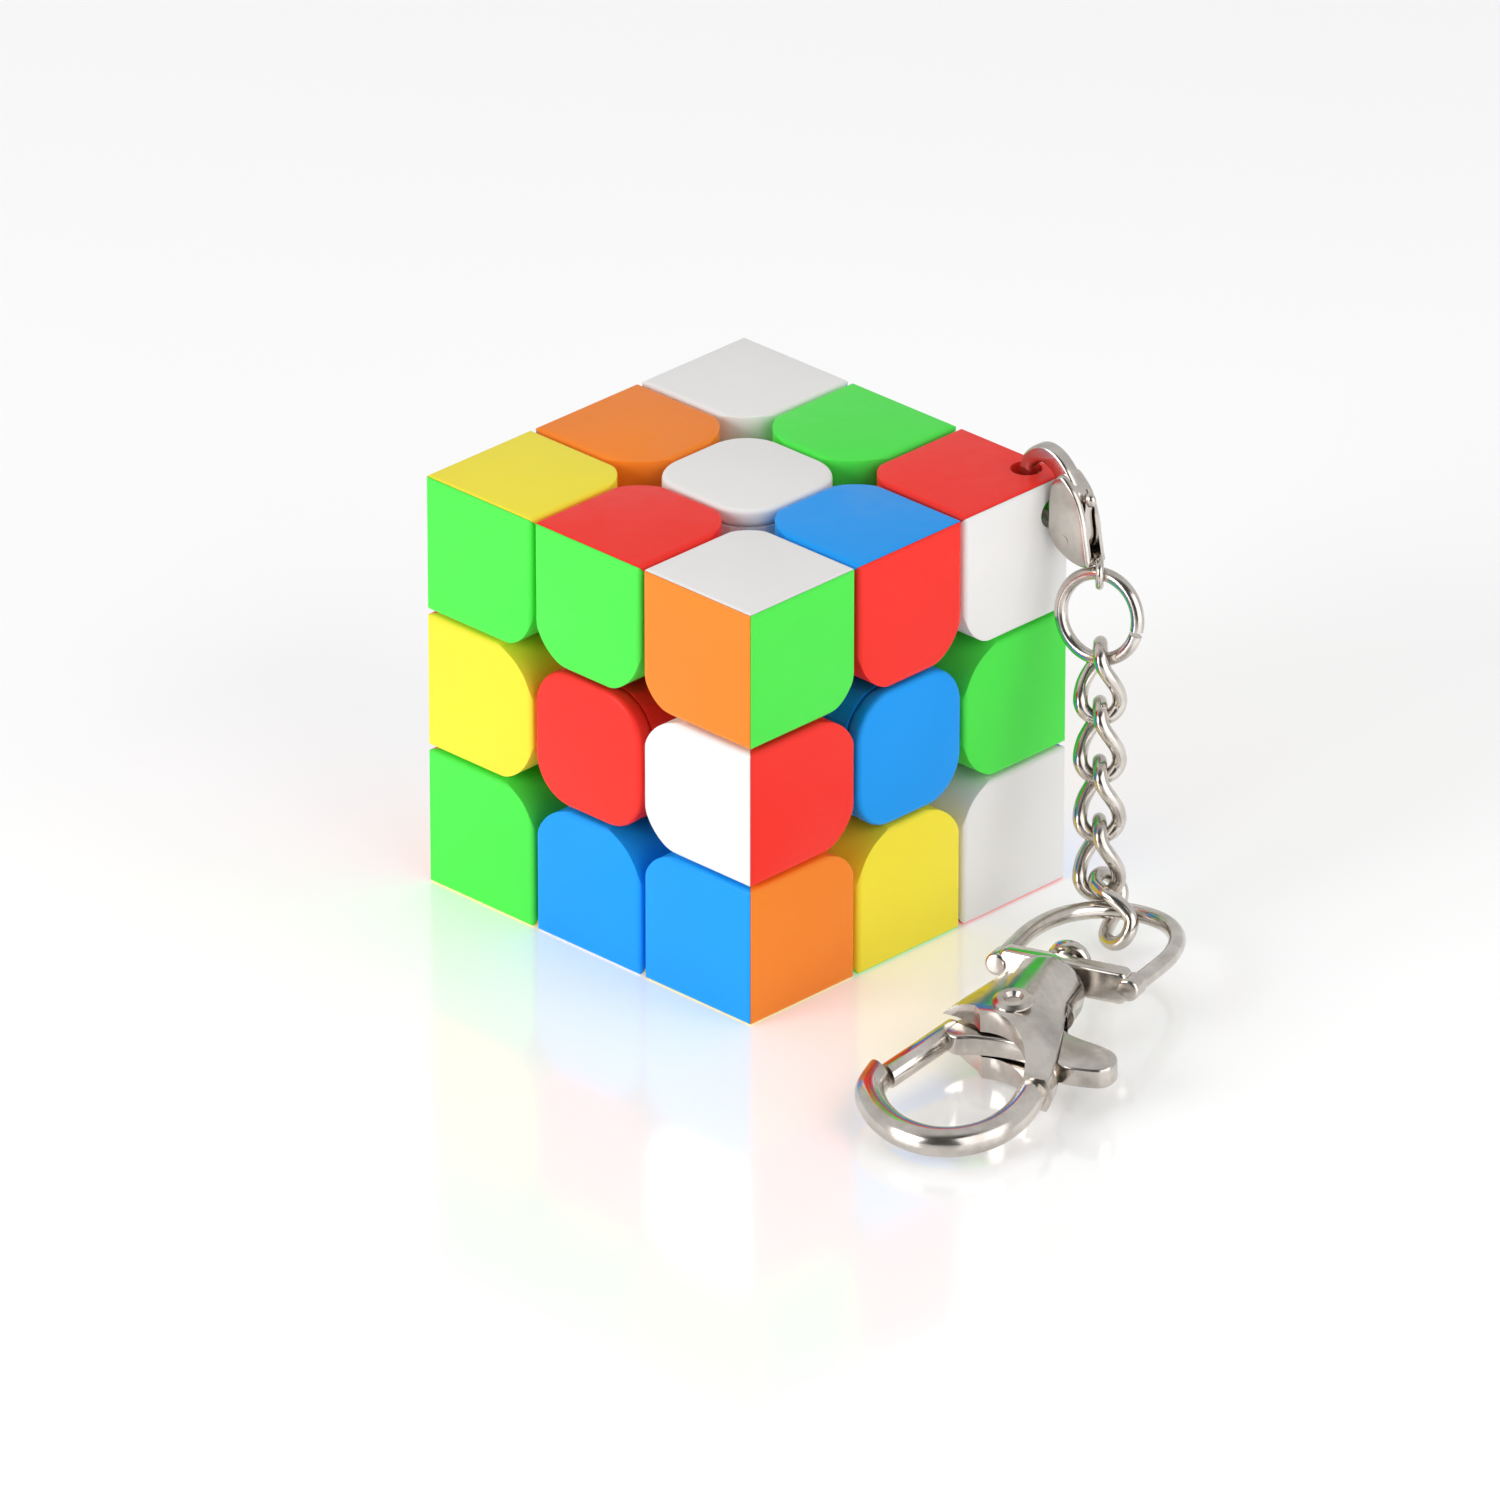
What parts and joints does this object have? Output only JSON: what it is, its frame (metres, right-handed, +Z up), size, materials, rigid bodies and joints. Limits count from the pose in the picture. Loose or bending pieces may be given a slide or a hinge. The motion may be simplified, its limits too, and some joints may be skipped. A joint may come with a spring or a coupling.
{
  "type": "twisty puzzle cube",
  "caption": "Small twisty puzzle cube in coloured plastic with turning layers, hung by a lobster clasp, jump ring and short chain from a swivel snap hook.",
  "frame": {"origin": "middle of the cube's bottom face, on the surface the cube rests on", "axes": "+Z up; -Y is the cube's left-hand shown face and +X its right-hand shown face; the chain hangs from the +X +Y top corner"},
  "size_m": [0.0643, 0.0428, 0.0379],
  "materials": {
    "white_plastic": "satin, moulded in colour",
    "yellow_plastic": "satin, moulded in colour",
    "red_plastic": "satin, moulded in colour",
    "orange_plastic": "satin, moulded in colour",
    "green_plastic": "satin, moulded in colour",
    "blue_plastic": "satin, moulded in colour",
    "core_plastic": "as moulded",
    "nickel": "bright nickel plate over a casting or wire",
    "screw_steel": "zinc plated",
    "spring_steel": "drawn wire"
  },
  "bodies": {
    "cube_middle": {"core_spider": "core_plastic", "edge_upright_right_back": "green_plastic", "edge_upright_left_back": "blue_plastic", "edge_upright_left_front": "yellow_plastic", "edge_upright_right_front": "white_plastic", "centre_screw_top": "screw_steel", "centre_screw_bottom": "screw_steel", "centre_screw_right": "screw_steel", "centre_screw_back": "screw_steel", "centre_screw_left": "screw_steel", "centre_screw_front": "screw_steel", "centre_spring_top": "spring_steel", "centre_spring_bottom": "spring_steel", "centre_spring_right": "spring_steel", "centre_spring_back": "spring_steel", "centre_spring_left": "spring_steel", "centre_spring_front": "spring_steel", "centre_base_right": "blue_plastic", "centre_base_back": "orange_plastic", "centre_base_left": "green_plastic", "centre_base_front": "red_plastic", "centre_cap_right": "blue_plastic", "centre_cap_back": "orange_plastic", "centre_cap_left": "green_plastic", "centre_cap_front": "red_plastic"},
    "top_layer": {"corner_top_right_back": "red_plastic", "corner_top_left_back": "white_plastic", "corner_top_left_front": "yellow_plastic", "corner_top_right_front": "white_plastic", "edge_top_right": "blue_plastic", "edge_top_back": "green_plastic", "edge_top_left": "orange_plastic", "edge_top_front": "red_plastic", "centre_base_top": "white_plastic", "centre_cap_top": "white_plastic"},
    "bottom_layer": {"corner_bottom_right_back": "white_plastic", "corner_bottom_left_back": "red_plastic", "corner_bottom_left_front": "green_plastic", "corner_bottom_right_front": "orange_plastic", "edge_bottom_right": "yellow_plastic", "edge_bottom_back": "orange_plastic", "edge_bottom_left": "white_plastic", "edge_bottom_front": "blue_plastic", "centre_base_bottom": "yellow_plastic", "centre_cap_bottom": "yellow_plastic"},
    "clasp": {"clasp_body": "nickel", "clasp_rivet": "nickel", "clasp_spring": "spring_steel"},
    "clasp_lever": {"clasp_lever": "nickel"},
    "jump_ring": {"jump_ring": "nickel"},
    "chain_link_1": {"chain_link_1": "nickel"},
    "chain_link_2": {"chain_link_2": "nickel"},
    "chain_link_3": {"chain_link_3": "nickel"},
    "chain_link_4": {"chain_link_4": "nickel"},
    "chain_link_5": {"chain_link_5": "nickel"},
    "swivel_ring": {"swivel_ring": "nickel"},
    "snap_hook": {"hook_body": "nickel", "hook_rivet": "nickel", "hook_spring": "spring_steel"},
    "hook_gate": {"hook_gate": "nickel"}
  },
  "joints": [
    {"name": "top_layer_turn", "type": "hinge", "parent": "cube_middle", "child": "top_layer", "pos_m": [0, 0, 0.0325], "axis": [0, 0, 1], "continuous": true},
    {"name": "bottom_layer_turn", "type": "hinge", "parent": "cube_middle", "child": "bottom_layer", "pos_m": [0, 0, 0.0025], "axis": [0, 0, 1], "continuous": true},
    {"name": "clasp_swing", "type": "hinge", "parent": "top_layer", "child": "clasp", "pos_m": [0.0166, 0.0156, 0.0339], "axis": [0, 1, 0], "range_deg": [-15, 8]},
    {"name": "clasp_lever_pull", "type": "hinge", "parent": "clasp", "child": "clasp_lever", "pos_m": [0.0197, 0.0156, 0.0309], "axis": [0, 1, 0], "range_deg": [0, 12], "stiffness_Nm_per_rad": 0.003, "springref_deg": -2.86, "deforming": ["clasp_spring"]},
    {"name": "jump_ring_swing", "type": "hinge", "parent": "clasp", "child": "jump_ring", "pos_m": [0.0225, 0.0156, 0.0287], "axis": [0.9649, 0.2402, 0.1062], "range_deg": [-15, 15]},
    {"name": "link_1_tilt", "type": "hinge", "parent": "jump_ring", "child": "chain_link_1", "pos_m": [0.02337, 0.01485, 0.02328], "axis": [0.685, -0.6987, 0.2062], "range_deg": [-12, 6]},
    {"name": "link_2_swing", "type": "hinge", "parent": "chain_link_1", "child": "chain_link_2", "pos_m": [0.02423, 0.01398, 0.01746], "axis": [0.7141, 0.7001, 0], "range_deg": [-20, 30]},
    {"name": "link_3_tilt", "type": "hinge", "parent": "chain_link_2", "child": "chain_link_3", "pos_m": [0.02472, 0.01348, 0.01412], "axis": [0.685, -0.6987, 0.2062], "range_deg": [-25, 25]},
    {"name": "link_4_swing", "type": "hinge", "parent": "chain_link_3", "child": "chain_link_4", "pos_m": [0.02558, 0.0126, 0.0083], "axis": [0.7141, 0.7001, 0], "range_deg": [-20, 30]},
    {"name": "link_5_tilt", "type": "hinge", "parent": "chain_link_4", "child": "chain_link_5", "pos_m": [0.02578, 0.01309, 0.00497], "axis": [0.1395, 0.8731, -0.4671], "range_deg": [-15, 8]},
    {"name": "swivel_ring_tilt", "type": "hinge", "parent": "chain_link_5", "child": "swivel_ring", "pos_m": [0.02991, 0.01058, 0.0015], "axis": [-0.7062, -0.243, -0.6651], "range_deg": [-3, 5]},
    {"name": "hook_swivel", "type": "hinge", "parent": "swivel_ring", "child": "snap_hook", "pos_m": [0.0357, -0.0049, 0.00395], "axis": [-0.3563, 0.9281, 0.108], "continuous": true},
    {"name": "hook_gate_open", "type": "hinge", "parent": "snap_hook", "child": "hook_gate", "pos_m": [0.0373, -0.00908, 0.00346], "axis": [0.0387, -0.1008, 0.9942], "range_deg": [0, 30], "stiffness_Nm_per_rad": 0.02, "springref_deg": -2.86, "deforming": ["hook_spring"]}
  ]
}
